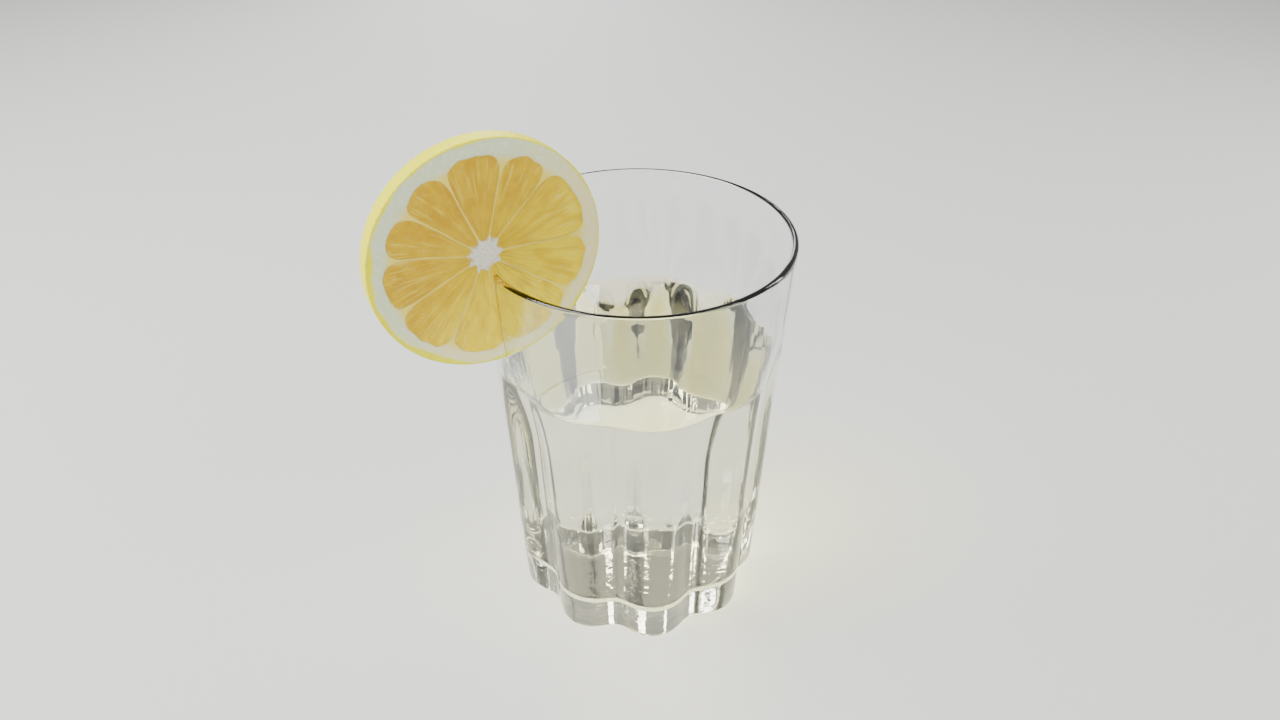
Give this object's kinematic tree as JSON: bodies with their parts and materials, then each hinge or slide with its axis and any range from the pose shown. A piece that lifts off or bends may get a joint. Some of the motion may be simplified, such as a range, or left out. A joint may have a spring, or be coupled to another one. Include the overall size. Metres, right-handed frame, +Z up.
{
  "type": "glass of lemonade",
  "caption": "Tall fluted clear tumbler, round at the rim, partly filled with pale lemonade, with a round slice of lemon standing on the rim.",
  "frame": {"origin": "Middle of the tumbler's flat underside, on the surface that it stands on.", "axes": "+Z points up along the tumbler's axis, also the longest extent. The lemon slice stands upright in the XZ plane, on the -X side of the rim. +Y is along the slice's own axis, the shortest extent."},
  "size_m": [0.117, 0.086, 0.1565],
  "materials": {
    "glass": "clear colourless pressed glass, polished",
    "lemonade": "clear liquid, faintly yellow",
    "lemon": "moist cut lemon: yellow pulp, pale pith and membranes, bright yellow rind"
  },
  "bodies": {
    "root": {"tumbler": "glass", "lemonade": "lemonade", "lemon_slice": "lemon"}
  },
  "joints": []
}
